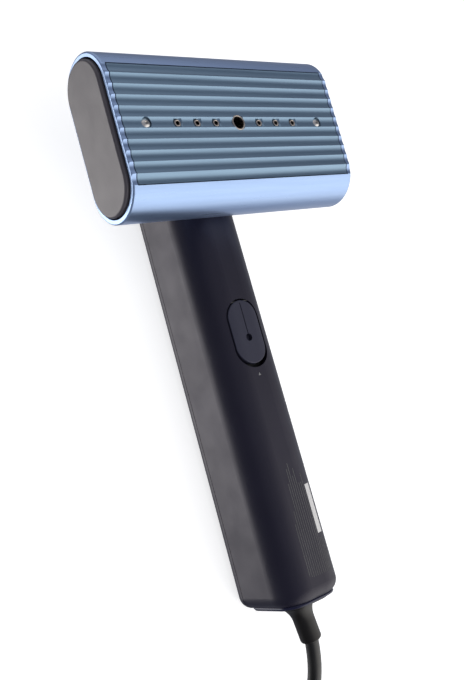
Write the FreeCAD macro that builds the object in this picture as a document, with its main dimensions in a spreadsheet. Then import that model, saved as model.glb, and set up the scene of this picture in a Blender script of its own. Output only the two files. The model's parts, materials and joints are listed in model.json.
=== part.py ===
import FreeCAD, Part
import math
import operator
import os
import Sketcher

# Handheld garment steamer lying on its back: +X to the right as the plate is faced with the head up,
# +Y from the handle's foot to the head, +Z out of the steam plate. The origin is on the surface that the
# steamer lies on, under the middle of the steamer. Millimetres.

DIMENSIONS = {
    # head: a bar of stadium section, with its axis along X
    "head_length": 132.0, "head_height": 76.7, "head_depth": 34.0, "head_along": 94.9, "head_back": 44.6,
    "head_wall": 1.6, "head_rim": 2.2, "head_edge": 0.9, "rim_length": 6.0,
    # steam plate and its flutes
    "plate_length": 127.3, "plate_height": 55.0, "plate_seam": 0.45, "plate_thick": 4.2,
    "flute_pitch": 5.0, "flute_depth": 0.72, "flute_count": 11,
    # holes in the plate's middle flute
    "nozzle_inner": 13.0, "nozzle_middle": 23.75, "nozzle_outer": 34.7, "nozzle_bore": 0.95,
    "nozzle_radius": 1.75, "nozzle_sink": 2.45, "nozzle_below": 0.35,
    "centre_radius": 3.75, "centre_bore": 2.95,
    "screw_place": 51.3, "screw_radius": 2.35, "screw_shank": 1.4,
    # end caps
    "cap_gap": 0.85, "cap_dome": 1.9, "cap_edge": 1.2, "cap_thick": 4.2,
    # steam generator inside the head
    "chamber_length": 112.0, "chamber_height": 46.0, "chamber_depth": 13.4, "chamber_wall": 3.0,
    "chamber_floor": 4.0,
    "lug_radius": 3.6, "gasket_thick": 1.0, "element_radius": 3.2, "element_reach": 46.0,
    "element_spread": 13.0, "shield_thick": 0.8, "shield_gap": 3.0,
    # swivel between head and handle
    "hub_radius": 10.0, "hub_bore": 7.5, "hub_bottom": 36.2, "flange_radius": 20.0, "flange_thick": 2.0,
    "hub_screw_circle": 16.0, "bearing_radius": 12.0, "running_gap": 0.05, "turret_radius": 16.0,
    "turret_bottom": 38.0, "turret_top": 44.2, "pipe_radius": 3.0, "pipe_bore": 2.0,
    # handle
    "handle_top": 119.0, "handle_foot": 128.9, "width_top": 36.8, "width_foot": 38.6,
    "depth_top": 43.0, "depth_foot": 44.8, "back_trim": 0.2, "front_round": 14.5, "back_round": 8.5,
    "handle_wall": 2.2,
    "end_wall": 6.0, "end_round": 6.4, "seam_height": 8.6, "seam_gap": 0.35, "boss_radius": 3.0,
    "boss_side": 9.0, "boss_top_along": 111.0, "boss_foot_along": 120.7, "boss_height": 8.0,
    "cover_screw_radius": 1.1, "cover_head_radius": 2.6,
    # base cap
    "base_proud": 1.5, "base_inset": 4.9, "base_edge": 0.7,
    # filling door
    "door_half_width": 8.9, "door_low": 13.3, "door_high": 18.5, "door_gap": 0.8, "door_under": 40.9,
    "door_edge": 0.5, "hinge_along": 18.0, "hinge_height": 43.0, "pin_radius": 0.45, "pin_length": 12.0,
    "vent_radius": 1.85, "vent_along": 0.3, "vent_line": 0.45, "line_short": 0.8, "opening_high": 19.2,
    "opening_low": 15.3, "neck_along": 2.0,
    "neck_bore": 5.5, "plug_radius": 4.7, "plug_bottom": 36.6, "tray_top": 38.7, "tray_thick": 2.5,
    # water side
    "tank_left": 13.6, "tank_right": 9.5, "tank_foot": 42.0, "tank_top_along": 72.0, "tank_floor": 13.0,
    "tank_roof": 34.8, "tank_wall": 1.5, "pump_radius": 8.5, "pump_foot": 84.0, "pump_length": 30.0,
    "pump_height": 24.0, "hose_side": 12.4, "hose_radius": 1.9, "hose_bore": 1.2,
    # electrics
    "board_bottom": 10.6, "board_thick": 1.6, "board_width": 25.0, "board_foot": 108.0, "board_top": 62.0,
    "switch_size": 5.0, "switch_bottom": 9.0,
    # trigger
    "trigger_along": 38.0, "trigger_width": 13.0, "trigger_length": 31.0, "trigger_recess": 0.8,
    "trigger_gap": 0.35, "trigger_flange": 1.5, "trigger_flange_thick": 1.5, "trigger_stem": 1.9,
    "trigger_travel": 2.2, "spring_radius": 4.2, "spring_wire": 0.3, "spring_pitch": 1.6,
    "lens_along": 66.0, "lens_radius": 1.6,
    # cord and its fittings
    "cord_radius": 3.5, "exit_height": 25.1, "sleeve_radius": 5.2, "boot_root": 9.0, "boot_radius": 5.4,
    "boot_flare": 9.0, "boot_edge": 1.1, "coil_side": 41.5, "coil_along": 226.0, "coil_inner": 31.5,
    "coil_outer": 45.5, "coil_bottom": 0.8, "coil_top": 28.8, "coil_edge": 3.0, "tie_width": 9.0,
    "tie_thick": 0.7, "tie_slack": 1.0, "tie_stand": 0.3, "hair": 0.02, "plug_stand": 0.05,
    "plug_back": 2.0, "plug_side": 27.0, "plug_waist": 5.0, "plug_neck": 9.0, "neck_flare": 0.8,
    "plug_length": 30.0, "plug_width": 26.0, "plug_thick": 13.6,
    "plug_edge": 3.5, "blade_radius": 2.0, "blade_length": 19.0, "blade_spacing": 19.0,
}

# The cord's route on the surface: out of its boot, down in a shallow droop and along to the coil.
CORD_ROUTE = [
    (3.9, -150.4, 22.9),
    (5.9, -164.6, 18.8),
    (4.2, -185.0, 7.7),
    (1.5, -206.0, 3.7),
    (0.5, -226.0, 4.3),
]

OPERATIONS = {"+": operator.add, "-": operator.sub, "*": operator.mul, "/": operator.truediv}

doc = FreeCAD.newDocument("handheld_steamer")
sheet = doc.addObject("Spreadsheet::Sheet", "dims")


class Size:
    """A length that carries its value and the spreadsheet formula that gives it."""

    def __init__(self, value, formula):
        self.value = value
        self.formula = formula

    def __add__(self, other):
        return combine(self, "+", other)

    def __radd__(self, other):
        return combine(other, "+", self)

    def __sub__(self, other):
        return combine(self, "-", other)

    def __rsub__(self, other):
        return combine(other, "-", self)

    def __mul__(self, other):
        return combine(self, "*", other)

    def __rmul__(self, other):
        return combine(other, "*", self)

    def __truediv__(self, other):
        return combine(self, "/", other)

    def __neg__(self):
        return combine(0, "-", self)


def as_size(item):
    return item if isinstance(item, Size) else Size(float(item), repr(float(item)))


def combine(first, sign, second):
    first = as_size(first)
    second = as_size(second)
    value = OPERATIONS[sign](first.value, second.value)
    return Size(value, f"({first.formula} {sign} {second.formula})")


def root_of(item):
    """The square root of a size."""
    return Size(math.sqrt(item.value), f"sqrt({item.formula})")


for row, (alias, number) in enumerate(DIMENSIONS.items(), start=1):
    sheet.set(f"A{row}", alias)
    sheet.set(f"B{row}", str(number))
    sheet.setAlias(f"B{row}", alias)
doc.recompute()


class Sizes:
    """Every spreadsheet cell by its alias."""


d = Sizes()
for alias, number in DIMENSIONS.items():
    setattr(d, alias, Size(number, f"dims.{alias}"))

ALONG_Z = FreeCAD.Rotation()
ALONG_X = FreeCAD.Rotation(FreeCAD.Vector(0, 1, 0), 90)
ALONG_Y = FreeCAD.Rotation(FreeCAD.Vector(1, 0, 0), -90)
nodes = []


# ---------------------------------------------------------------- helpers: placing and primitives

def bind(item, path, size):
    item.setExpression(path, as_size(size).formula)


def place(item, at, turn=ALONG_Z):
    item.Placement = FreeCAD.Placement(FreeCAD.Vector(0, 0, 0), turn)
    for axis, size in zip("xyz", at):
        bind(item, f"Placement.Base.{axis}", size)
    return item


def make_box(label, size, corner):
    item = doc.addObject("Part::Box", label)
    for name, length in zip(("Length", "Width", "Height"), size):
        bind(item, name, length)
    return place(item, corner)


def make_cylinder(label, radius, length, start, turn=ALONG_Z):
    item = doc.addObject("Part::Cylinder", label)
    bind(item, "Radius", radius)
    bind(item, "Height", length)
    return place(item, start, turn)


def make_cone(label, start_radius, end_radius, length, start, turn=ALONG_Z):
    item = doc.addObject("Part::Cone", label)
    bind(item, "Radius1", start_radius)
    bind(item, "Radius2", end_radius)
    bind(item, "Height", length)
    return place(item, start, turn)


def fuse(label, *shapes):
    item = doc.addObject("Part::MultiFuse", label)
    item.Shapes = list(shapes)
    return item


def cut(label, base, *tools):
    item = doc.addObject("Part::Cut", label)
    item.Base = base
    item.Tool = tools[0] if len(tools) == 1 else fuse(label + "_cuts", *tools)
    return item


def common(label, first, second):
    item = doc.addObject("Part::MultiCommon", label)
    item.Shapes = [first, second]
    return item


def node(item, label):
    """Marks a finished sub-part: its label names its file."""
    item.Label = label
    nodes.append(item)
    return item


# ---------------------------------------------------------------- helpers: bodies, sketches, features

def make_body(label):
    return doc.addObject("PartDesign::Body", label)


def make_sketch(body, role, offset=0):
    """A sketch on one of the body's own origin planes, moved along that plane's normal by offset."""
    plane = next(item for item in body.Origin.OriginFeatures if item.Role == role)
    sketch = body.newObject("Sketcher::SketchObject", body.Name + "_sketch")
    sketch.AttachmentSupport = [(plane, "")]
    sketch.MapMode = "FlatFace"
    bind(sketch, "AttachmentOffset.Base.z", offset)
    return sketch


def fix(sketch, kind, place_on_sketch, size):
    index = sketch.addConstraint(Sketcher.Constraint(kind, *place_on_sketch, as_size(size).value))
    bind(sketch, f"Constraints[{index}]", size)


def fix_point(sketch, edge, end, x, y):
    """Fixes one end of an edge by its distances from the sketch's origin."""
    origin = -1
    fix(sketch, "DistanceX", (origin, 1, edge, end), x)
    fix(sketch, "DistanceY", (origin, 1, edge, end), y)


def add_outline(sketch, steps):
    """A closed outline. Each step is (x, y) for a straight edge to that point, or (x, y, radius, turn)
    for an arc to it, with turn 1 for anticlockwise and -1 for clockwise, under half a circle."""
    points = [FreeCAD.Vector(as_size(step[0]).value, as_size(step[1]).value, 0) for step in steps]
    ends = []
    for index, step in enumerate(steps):
        before = points[index - 1]
        after = points[index]
        if len(step) == 2:
            edge = sketch.addGeometry(Part.LineSegment(before, after), False)
            ends.append((edge, 1, 2))
            continue
        radius = as_size(step[2]).value
        chord = after - before
        rise = math.sqrt(max(radius ** 2 - (chord.Length / 2) ** 2, 0))
        side = FreeCAD.Vector(-chord.y, chord.x, 0).normalize() * rise * step[3]
        centre = (before + after) / 2 + side
        low, high = (before, after) if step[3] > 0 else (after, before)
        circle = Part.Circle(centre, FreeCAD.Vector(0, 0, 1), radius)
        arc = Part.ArcOfCircle(circle, circle.parameter(low), circle.parameter(high))
        edge = sketch.addGeometry(arc, False)
        ends.append((edge, 1, 2) if step[3] > 0 else (edge, 2, 1))
        fix(sketch, "Radius", (edge,), step[2])
    for (edge, start, _), (before_edge, _, before_end) in zip(ends, ends[-1:] + ends[:-1]):
        sketch.addConstraint(Sketcher.Constraint("Coincident", before_edge, before_end, edge, start))
    for (edge, _, end), step in zip(ends, steps):
        fix_point(sketch, edge, end, step[0], step[1])


def add_circle(sketch, x, y, radius):
    centre = FreeCAD.Vector(as_size(x).value, as_size(y).value, 0)
    edge = sketch.addGeometry(Part.Circle(centre, FreeCAD.Vector(0, 0, 1), as_size(radius).value), False)
    fix(sketch, "Radius", (edge,), radius)
    fix_point(sketch, edge, 3, x, y)


def add_rectangle(sketch, left, right, low, high):
    add_outline(sketch, [(left, low), (right, low), (right, high), (left, high)])


def add_rounded(sketch, left, right, low, high, low_radius, high_radius):
    """A rectangle with one radius at its two low corners and one at its two high ones."""
    add_outline(sketch, [
        (left + low_radius, low), (right - low_radius, low),
        (right, low + low_radius, low_radius, 1), (right, high - high_radius),
        (right - high_radius, high, high_radius, 1), (left + high_radius, high),
        (left, high - high_radius, high_radius, 1), (left, low + low_radius),
        (left + low_radius, low, low_radius, 1)][1:])


def add_stadium(sketch, centre_x, centre_y, half_x, half_y):
    """Two half circles and two straight sides. The longer half size gives its direction. Each half
    circle is drawn as two quarter arcs."""
    half_x = as_size(half_x)
    half_y = as_size(half_y)
    if half_x.value > half_y.value:
        r = half_y
        reach = half_x - half_y
        add_outline(sketch, [
            (centre_x + reach, centre_y - r), (centre_x + half_x, centre_y + 0, r, 1),
            (centre_x + reach, centre_y + r, r, 1), (centre_x - reach, centre_y + r),
            (centre_x - half_x, centre_y + 0, r, 1), (centre_x - reach, centre_y - r, r, 1)])
        return
    r = half_x
    reach = half_y - half_x
    add_outline(sketch, [
        (centre_x + r, centre_y + reach), (centre_x + 0, centre_y + half_y, r, 1),
        (centre_x - r, centre_y + reach, r, 1), (centre_x - r, centre_y - reach),
        (centre_x + 0, centre_y - half_y, r, 1), (centre_x + r, centre_y - reach, r, 1)])


def pad(body, sketch, length, reverse=False, both_ways=False):
    item = body.newObject("PartDesign::Pad", body.Name + "_pad")
    item.Profile = sketch
    item.Midplane = both_ways
    item.Reversed = reverse
    bind(item, "Length", length)
    return item


def pocket(body, sketch, length=None, reverse=False, both_ways=False):
    """Removes the sketch's outline: against its normal, or along it if reversed, or right through."""
    item = body.newObject("PartDesign::Pocket", body.Name + "_pocket")
    item.Profile = sketch
    item.Midplane = both_ways
    item.Reversed = reverse
    if length is None:
        item.Type = "ThroughAll"
    else:
        bind(item, "Length", length)
    return item


def loft(body, first, second, kind="PartDesign::AdditiveLoft"):
    item = body.newObject(kind, body.Name + "_loft")
    item.Profile = first
    item.Sections = [second]
    return item


def edges_where(shape, test):
    return [f"Edge{index}" for index, edge in enumerate(shape.Edges, start=1) if test(edge)]


def round_edges(body, test, radius, kind="PartDesign::Fillet"):
    doc.recompute()
    base = body.Tip
    item = body.newObject(kind, body.Name + "_round")
    item.Base = (base, edges_where(base.Shape, test))
    bind(item, "Radius" if kind.endswith("Fillet") else "Size", radius)
    return item


def edge_in_plane(axis, *places):
    """A test for edges that lie wholly in a plane across the axis, at any of the places."""
    def test(edge):
        box = edge.BoundBox
        low = getattr(box, axis + "Min")
        high = getattr(box, axis + "Max")
        return any(abs(low - as_size(p).value) < 0.02 and abs(high - as_size(p).value) < 0.02 for p in places)
    return test


# ---------------------------------------------------------------- head

half_head = d.head_length / 2
half_height = d.head_height / 2
head_middle = d.head_back + d.head_depth / 2
plate_top = d.head_back + d.head_depth
crown_start = half_height - d.head_depth / 2


def stadium_bar(label, inset, length):
    """A bar along X with the head's stadium section, made smaller by inset all round."""
    body = make_body(label)
    sketch = make_sketch(body, "YZ_Plane")
    add_stadium(sketch, d.head_along, head_middle, half_height - inset, d.head_depth / 2 - inset)
    pad(body, sketch, length, both_ways=True)
    return body


def crest(index):
    """Where crest number index lies on the stadium: its Y from the head's middle and its drop."""
    offset = d.flute_pitch * (index - d.flute_count.value / 2)
    beyond = abs(offset.value) - crown_start.value
    if beyond <= 0:
        return offset, as_size(0)
    run = offset - crown_start if offset.value > 0 else offset + crown_start
    radius = d.head_depth / 2
    return offset, radius - root_of(radius * radius - run * run)


def flute_cutter():
    """Eleven overlapping rods along X: each passes through two neighbouring crests of the plate."""
    rods = []
    radius = (d.flute_pitch * d.flute_pitch / 4 + d.flute_depth * d.flute_depth) / (d.flute_depth * 2)
    for index in range(int(d.flute_count.value)):
        low_y, low_drop = crest(index)
        high_y, high_drop = crest(index + 1)
        slope = (low_drop - high_drop) / d.flute_pitch
        lift = radius - d.flute_depth
        centre_y = d.head_along + (low_y + high_y) / 2 - slope * lift
        centre_z = plate_top - (low_drop + high_drop) / 2 + lift
        rods.append(make_cylinder(f"flute_rod_{index + 1}", radius, d.head_length + 2,
                                  (-half_head - 1, centre_y, centre_z), ALONG_X))
    return fuse("flute_rods", *rods)


def make_head_shell(flutes):
    """Extruded bar with rounded ends, a thin wall, thick end rims and a window for the plate."""
    body = stadium_bar("head_bar", 0, d.head_length)
    round_edges(body, edge_in_plane("X", half_head, -half_head), d.head_edge)
    through = make_sketch(body, "YZ_Plane")
    add_stadium(through, d.head_along, head_middle, half_height - d.head_rim, d.head_depth / 2 - d.head_rim)
    pocket(body, through, d.head_length + 2, both_ways=True)
    inside = make_sketch(body, "YZ_Plane")
    add_stadium(inside, d.head_along, head_middle, half_height - d.head_wall, d.head_depth / 2 - d.head_wall)
    pocket(body, inside, d.head_length - d.rim_length * 2, both_ways=True)
    window = make_sketch(body, "XY_Plane", plate_top)
    add_rectangle(window, -d.plate_length / 2, d.plate_length / 2,
                  d.head_along - d.plate_height / 2, d.head_along + d.plate_height / 2)
    pocket(body, window, d.head_depth / 2)
    neck = make_sketch(body, "XY_Plane", head_middle)
    add_circle(neck, 0, d.head_along, d.hub_radius + d.running_gap)
    pocket(body, neck)
    holes = make_sketch(body, "XY_Plane", head_middle)
    for x, y in hub_screw_places():
        add_circle(holes, x, y, d.cover_screw_radius)
    pocket(body, holes)
    return node(cut("head_shell_cut", body, flutes), "head_shell")


def hub_screw_places():
    reach = d.hub_screw_circle * math.sqrt(0.5)
    return [(reach * sx, d.head_along + reach * sy) for sx in (-1, 1) for sy in (-1, 1)]


def nozzle_places():
    """The six small nozzles, left to right."""
    right = [d.nozzle_inner, d.nozzle_middle, d.nozzle_outer]
    return [-place_x for place_x in reversed(right)] + right


def make_steam_plate(flutes):
    """Plate that follows the bar's curve, with its flutes, its nozzle seats and its screw seats."""
    bar = stadium_bar("plate_bar", 0, d.plate_length - d.plate_seam * 2)
    height = d.plate_height - d.plate_seam * 2
    block = make_box("plate_block", (d.plate_length, height, d.plate_thick),
                     (-d.plate_length / 2, d.head_along - height / 2, plate_top - d.plate_thick))
    tools = [flutes]
    bottom = plate_top - d.plate_thick - 1
    flute_floor = plate_top - d.flute_depth
    for index, x in enumerate(nozzle_places(), start=1):
        tools.append(make_cylinder(f"nozzle_hole_{index}", d.nozzle_radius, d.plate_thick + 2,
                                   (x, d.head_along, bottom)))
        tools.append(make_cone(f"nozzle_sink_{index}", d.nozzle_radius, d.nozzle_sink + 0.4, 1.1,
                               (x, d.head_along, flute_floor - 0.7)))
    tools.append(make_cylinder("centre_hole", d.centre_radius, d.plate_thick + 2, (0, d.head_along, bottom)))
    for name, x in (("left", -d.screw_place), ("right", d.screw_place)):
        tools.append(make_cylinder(f"screw_hole_{name}", d.screw_shank, d.plate_thick + 2,
                                   (x, d.head_along, bottom)))
        tools.append(make_cylinder(f"screw_seat_{name}", d.screw_radius + 0.2, 3,
                                   (x, d.head_along, flute_floor - 0.8)))
    return node(cut("steam_plate_cut", common("plate_blank", bar, block), *tools), "steam_plate")


def turned(label, profile, place_x, place_y, place_z):
    """A turned piece: profile is a list of (radius, height) steps, turned round an upright axis."""
    body = make_body(label)
    sketch = make_sketch(body, "XZ_Plane")
    add_outline(sketch, profile)
    item = body.newObject("PartDesign::Revolution", label + "_turn")
    item.Profile = sketch
    item.ReferenceAxis = (sketch, ["V_Axis"])
    item.Angle = 360
    return place(body, (place_x, place_y, place_z))


def make_nozzles():
    """Small nozzle tubes with a rounded mouth, and the wide centre nozzle."""
    seat = plate_top - d.flute_depth - d.nozzle_below
    outer = d.nozzle_radius - 0.02
    bore = d.nozzle_bore
    middle = (outer + bore) / 2
    lip = (outer - bore) / 2
    small = [(bore, -6), (outer, -6), (outer, 0), (middle, lip, lip, 1), (bore, 0, lip, 1)]
    for index, x in enumerate(nozzle_places(), start=1):
        label = f"steam_nozzle_{index}"
        node(turned(label, small, x, d.head_along, seat), label)
    outer = d.centre_radius - 0.03
    rim = (outer - d.centre_bore) / 2
    wide = [(d.centre_bore, -7), (outer, -7), (outer, 0), (outer - rim, rim, rim, 1),
            (d.centre_bore, 0, rim, 1)]
    node(turned("centre_nozzle", wide, 0, d.head_along, plate_top - 0.55), "centre_nozzle")


def make_plate_screws():
    """Two domed screws that hold the plate to the steam chamber."""
    solids = []
    for name, x in (("left", -d.screw_place), ("right", d.screw_place)):
        r = d.screw_radius
        shank = d.screw_shank - 0.02
        profile = [(0, -8), (shank, -8), (shank, 0), (r, 0), (r, 0.35), (0, 1.15, 3.85, 1)]
        body = turned(f"screw_{name}", profile, x, d.head_along, plate_top - d.flute_depth - 0.8)
        socket = make_cylinder(f"screw_socket_{name}", 0.85, 1.4,
                               (x, d.head_along, plate_top - d.flute_depth - 0.5))
        solids.append(cut(f"screw_cut_{name}", body, socket))
    node(fuse("screws", *solids), "plate_screws")


def make_end_cap(label, side):
    """Plastic cap set inside the bar's rim, with a softly rounded face a little proud of the rim."""
    inset = d.head_rim + d.cap_gap
    body = make_body(label)
    sketch = make_sketch(body, "YZ_Plane")
    add_stadium(sketch, 0, 0, half_height - inset, d.head_depth / 2 - inset)
    pad(body, sketch, d.cap_thick)
    round_edges(body, edge_in_plane("X", d.cap_thick), d.cap_edge)
    turn = FreeCAD.Rotation() if side > 0 else FreeCAD.Rotation(FreeCAD.Vector(0, 0, 1), 180)
    place(body, ((half_head - d.cap_thick + d.cap_dome) * side, d.head_along, head_middle), turn)
    return node(body, label)


def rounded_block(label, size, corner, radius):
    """A block with its upright corners rounded."""
    body = make_body(label)
    sketch = make_sketch(body, "XY_Plane")
    add_rounded(sketch, as_size(0), size[0], as_size(0), size[1], radius, radius)
    pad(body, sketch, size[2])
    return place(body, corner)


def make_steam_generator():
    """Cast chamber with ribs, its gasket, heating element, thermostat, fuse and heat shield."""
    half_l = d.chamber_length / 2
    half_h = d.chamber_height / 2
    roof = plate_top - d.plate_thick - d.gasket_thick
    floor = roof - d.chamber_depth
    chamber = rounded_block("chamber_block", (d.chamber_length, d.chamber_height, d.chamber_depth),
                            (-half_l, d.head_along - half_h, floor), as_size(7))
    w = d.chamber_wall
    inner = (d.chamber_length - w * 2, d.chamber_height - w * 2)
    hollow = rounded_block("chamber_hollow", (*inner, d.chamber_depth),
                           (w - half_l, d.head_along - half_h + w, floor + d.chamber_floor), as_size(4))
    ribs = []
    for index, x in enumerate((-36, -18, 18, 36), start=1):
        low = -half_h + w if index % 2 else -half_h + w * 3
        ribs.append(make_box(f"chamber_rib_{index}", (1.6, d.chamber_height - w * 4, d.chamber_depth - 8),
                             (x, d.head_along + low, floor + d.chamber_floor - 0.5)))
    inlet = make_cylinder("chamber_inlet", d.pipe_radius, d.chamber_floor + 2, (0, d.head_along, floor - 1))
    tray = cut("chamber_tray", chamber, hollow)
    screws = [make_cylinder(f"chamber_screw_hole_{n}", d.screw_shank, 9,
                            (d.screw_place * s, d.head_along, roof - 8))
              for n, s in ((1, -1), (2, 1))]
    lugs = [make_cylinder(f"chamber_lug_{n}", d.lug_radius, d.chamber_depth - 1,
                          (d.screw_place * s, d.head_along, floor + 0.5))
            for n, s in ((1, -1), (2, 1))]
    node(cut("chamber", fuse("chamber_body", tray, *ribs, *lugs), inlet, *screws), "steam_chamber")

    frame = rounded_block("gasket_block", (d.chamber_length, d.chamber_height, d.gasket_thick),
                          (-half_l, d.head_along - half_h, roof), as_size(7))
    window = rounded_block("gasket_window", (*inner, d.gasket_thick + 2),
                           (w - half_l, d.head_along - half_h + w, roof - 1), as_size(4))
    node(cut("gasket", frame, window), "chamber_gasket")

    make_element(floor)
    depth = floor - d.element_radius * 2
    node(make_cylinder("thermostat_can", 7, d.element_radius * 2, (-28, d.head_along, depth)), "thermostat")
    node(make_cylinder("fuse_can", 2.4, 18, (19, d.head_along, floor - 2.6), ALONG_X), "thermal_fuse")

    sheet_top = depth - d.shield_gap
    plate = rounded_block("shield_block", (d.chamber_length, d.chamber_height, d.shield_thick),
                          (-half_l, d.head_along - half_h, sheet_top), as_size(6))
    hole = make_cylinder("shield_hole", d.pipe_radius + 1, 4, (0, d.head_along, sheet_top - 1))
    node(cut("shield", plate, hole), "heat_shield")
    return floor


def make_element(floor):
    """U-shaped heating rod under the chamber, along a path of two runs and a half circle."""
    z = (floor - d.element_radius).value
    reach = d.element_reach.value
    spread = d.element_spread.value
    middle = d.head_along.value
    left = FreeCAD.Vector(-reach, middle - spread, z)
    corner = FreeCAD.Vector(reach - spread, middle - spread, z)
    bend = FreeCAD.Vector(reach, middle, z)
    back = FreeCAD.Vector(reach - spread, middle + spread, z)
    end = FreeCAD.Vector(-reach, middle + spread, z)
    path = Part.Wire([Part.LineSegment(left, corner).toShape(), Part.Arc(corner, bend, back).toShape(),
                      Part.LineSegment(back, end).toShape()])
    item = doc.addObject("Part::Feature", "heating_rod")
    item.Shape = sweep_circle(path, d.element_radius.value - 0.05)
    node(item, "heating_element")


def sweep_circle(path, radius):
    """A round solid along a wire, starting square to it."""
    edge = path.Edges[0]
    start = edge.valueAt(edge.FirstParameter)
    heading = edge.tangentAt(edge.FirstParameter)
    ring = Part.Wire([Part.Circle(start, heading, radius).toShape()])
    return path.makePipeShell([ring], True, False)


def make_swivel(chamber_floor):
    """Flanged hub of the head, its screws and clip, and the water pipe on the swivel's axis."""
    inside = d.head_back + d.head_wall
    tube = make_cylinder("hub_tube", d.hub_radius, inside - d.hub_bottom, (0, d.head_along, d.hub_bottom))
    flange = make_cylinder("hub_flange", d.flange_radius, d.flange_thick, (0, d.head_along, inside))
    bore = make_cylinder("hub_hole", d.hub_bore, d.head_depth, (0, d.head_along, d.hub_bottom - 1))
    holes = [make_cylinder(f"hub_screw_hole_{i}", d.cover_screw_radius, 6, (x, y, inside - 1))
             for i, (x, y) in enumerate(hub_screw_places(), start=1)]
    node(cut("hub", fuse("hub_blank", tube, flange), bore, *holes), "swivel_hub")

    screws = []
    top = inside + d.flange_thick
    for i, (x, y) in enumerate(hub_screw_places(), start=1):
        shank = make_cylinder(f"hub_shank_{i}", d.cover_screw_radius - 0.02, top - d.head_back - 0.3,
                              (x, y, d.head_back + 0.3))
        head = make_cylinder(f"hub_head_{i}", 2.2, 1.4, (x, y, top))
        screws.append(fuse(f"hub_screw_{i}", shank, head))
    node(fuse("hub_screw_set", *screws), "hub_screws")

    groove = d.hub_bottom + 0.3
    ring = make_cylinder("clip_ring", d.bearing_radius - 0.2, 1.1, (0, d.head_along, groove))
    ring_hole = make_cylinder("clip_hole", d.hub_radius + 0.01, 3, (0, d.head_along, groove - 1))
    node(cut("clip", ring, ring_hole), "swivel_clip")

    bush = make_cylinder("bearing_bush", d.bearing_radius - 0.01, d.turret_top - d.turret_bottom,
                         (0, d.head_along, d.turret_bottom))
    bush_hole = make_cylinder("bearing_hole", d.hub_radius + d.running_gap, d.head_depth,
                              (0, d.head_along, d.turret_bottom - 2))
    node(cut("bearing", bush, bush_hole), "swivel_bearing")

    pipe_bottom = d.hub_bottom - 8
    outer = make_cylinder("pipe_outer", d.pipe_radius - 0.02, chamber_floor + 2 - pipe_bottom,
                          (0, d.head_along, pipe_bottom))
    inner = make_cylinder("pipe_inner", d.pipe_bore, d.head_depth * 2, (0, d.head_along, pipe_bottom - 1))
    node(cut("pipe", outer, inner), "water_pipe")

    cup_low = pipe_bottom - 3
    cup = make_cylinder("seal_cup", d.pipe_radius + 2.4, 9, (0, d.head_along, cup_low))
    seat = make_cylinder("seal_seat", d.pipe_radius + d.running_gap, 9, (0, d.head_along, pipe_bottom - 0.6))
    way = make_cylinder("seal_way", d.hose_bore, 9, (0, d.head_along, cup_low - 1))
    node(cut("seal", cup, seat, way), "rotary_seal")
    return cup_low


# ---------------------------------------------------------------- handle

def handle_section(body, at_top, inset, end_inset):
    """The handle's section at its top or its foot: big front corners, smaller back ones."""
    width = d.width_top if at_top else d.width_foot
    depth = d.depth_top if at_top else d.depth_foot
    offset = end_inset - d.handle_top if at_top else d.handle_foot - end_inset
    sketch = make_sketch(body, "XZ_Plane", offset)
    add_rounded(sketch, inset - width / 2, width / 2 - inset, inset - d.back_trim, depth - inset,
                d.back_round - inset, d.front_round - inset)
    return sketch


def handle_solid(label):
    """The whole outer form of the handle, with its two ends rounded."""
    body = make_body(label)
    loft(body, handle_section(body, True, as_size(0), as_size(0)),
         handle_section(body, False, as_size(0), as_size(0)))
    round_edges(body, edge_in_plane("Y", d.handle_top, -d.handle_foot), d.end_round)
    return body


def handle_hollow(body):
    loft(body, handle_section(body, True, d.handle_wall, d.end_wall),
         handle_section(body, False, d.handle_wall, d.end_wall), "PartDesign::SubtractiveLoft")


def cover_screw_places():
    """X and Y of the four screws that hold the back cover."""
    return [(d.boss_side * side, along)
            for side in (-1, 1)
            for along in (-d.boss_foot_along, d.boss_top_along)]


def make_handle_shell():
    """Front half of the handle: turret for the swivel, door opening, cord hole and screw bosses."""
    body = handle_solid("handle_front")
    handle_hollow(body)
    below = make_sketch(body, "XY_Plane", d.seam_height)
    add_rectangle(below, as_size(-40), as_size(40), as_size(-160), as_size(160))
    pocket(body, below)
    turret = make_sketch(body, "XY_Plane", d.turret_bottom)
    add_circle(turret, 0, d.head_along, d.turret_radius)
    pad(body, turret, d.turret_top - d.turret_bottom)
    bosses = make_sketch(body, "XY_Plane", d.seam_height)
    for x, y in cover_screw_places():
        add_circle(bosses, x, y, d.boss_radius)
    pad(body, bosses, d.boss_height)
    bore = make_sketch(body, "XY_Plane", d.turret_top)
    add_circle(bore, 0, d.head_along, d.bearing_radius)
    pocket(body, bore, d.turret_top - d.turret_bottom + 1)
    door = make_sketch(body, "XY_Plane", d.depth_foot + 1)
    add_stadium(door, 0, (d.opening_high - d.opening_low) / 2, d.door_half_width + d.door_gap,
                (d.opening_high + d.opening_low) / 2)
    pocket(body, door, d.depth_foot / 2)
    cord_hole = make_sketch(body, "XZ_Plane", d.handle_foot + 1)
    add_circle(cord_hole, 0, d.exit_height, d.sleeve_radius)
    pocket(body, cord_hole, d.end_wall + 2)
    pin_hole = make_sketch(body, "YZ_Plane")
    add_circle(pin_hole, d.hinge_along, d.hinge_height, d.pin_radius)
    pocket(body, pin_hole, d.pin_length, both_ways=True)
    screw_holes = make_sketch(body, "XY_Plane", d.seam_height)
    for x, y in cover_screw_places():
        add_circle(screw_holes, x, y, d.cover_screw_radius)
    pocket(body, screw_holes, d.boss_height - 2, reverse=True)
    return node(body, "handle_shell")


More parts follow.
